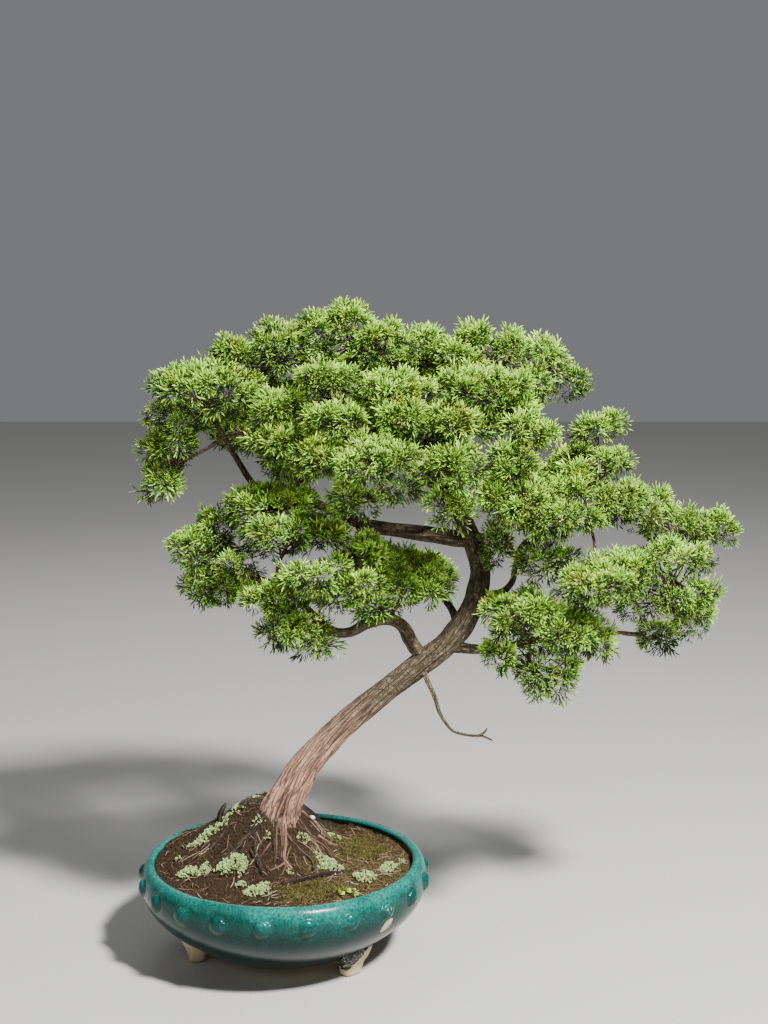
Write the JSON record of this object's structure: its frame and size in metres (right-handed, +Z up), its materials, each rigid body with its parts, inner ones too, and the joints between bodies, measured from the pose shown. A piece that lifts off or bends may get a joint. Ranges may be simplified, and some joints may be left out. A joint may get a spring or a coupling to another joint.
{
  "type": "bonsai tree in a pot",
  "caption": "Leaning juniper bonsai with cloud-like foliage pads, growing from a mossy mound in a round glazed drum pot on small feet.",
  "frame": {"origin": "on the surface that the feet stand on, at the middle of the whole object's box; the pot's axis is 178 mm to the -X side of it", "axes": "+Z up, -Y towards the front of the tree, +X to the right, the way the trunk leans"},
  "size_m": [0.7096, 0.3866, 0.7795],
  "materials": {
    "glaze": "mottled teal-green glaze over cream stoneware, bare on the soles",
    "net": "black plastic net",
    "wire": "dull drawn wire",
    "soil": "dark fibrous potting soil",
    "bark": "stringy peeling bark, pinkish brown low down and grey-brown above",
    "moss": "low olive-brown moss",
    "lichen": "pale mint-green branching lichen",
    "foliage": "scale-leaf juniper shoots, yellow-green at the tips"
  },
  "bodies": {
    "root": {"pot": "glaze", "drainage_net": "net", "net_wire": "wire", "soil": "soil", "trunk_with_branches": "bark", "moss_front": "moss", "moss_right": "moss", "lichen_left_large": "lichen", "lichen_front": "lichen", "lichen_middle": "lichen", "lichen_right": "lichen", "lichen_far_right": "lichen", "lichen_left": "lichen", "lichen_ridge": "lichen", "crown_apex_pad": "foliage", "crown_left_pad": "foliage", "crown_middle_pad": "foliage", "crown_right_pad": "foliage", "crown_right_tip_pad": "foliage", "left_upper_pad": "foliage", "left_edge_pad": "foliage", "front_top_left_pad": "foliage", "front_upper_left_pad": "foliage", "front_top_pad": "foliage", "front_upper_pad": "foliage", "front_upper_middle_pad": "foliage", "front_top_right_pad": "foliage", "front_right_pad": "foliage", "front_left_pad": "foliage", "front_middle_pad": "foliage", "front_low_pad": "foliage", "front_middle_right_pad": "foliage", "front_right_low_pad": "foliage", "right_upper_pad": "foliage", "right_middle_pad": "foliage", "right_end_upper_pad": "foliage", "right_end_low_pad": "foliage", "right_inner_pad": "foliage", "right_inner_low_pad": "foliage", "low_right_upper_pad": "foliage", "low_right_pad": "foliage", "low_right_drop_pad": "foliage", "low_right_tip_pad": "foliage", "left_low_top_pad": "foliage", "left_low_front_pad": "foliage", "left_low_edge_pad": "foliage", "left_low_side_pad": "foliage", "left_low_middle_pad": "foliage", "left_low_inner_pad": "foliage", "left_low_right_pad": "foliage", "left_low_drop_pad": "foliage", "trunk_side_pad": "foliage", "hanging_sprig_pad": "foliage", "back_top_pad": "foliage", "back_upper_left_pad": "foliage", "back_upper_right_pad": "foliage", "back_left_pad": "foliage", "back_right_pad": "foliage", "back_low_pad": "foliage"}
  },
  "joints": []
}
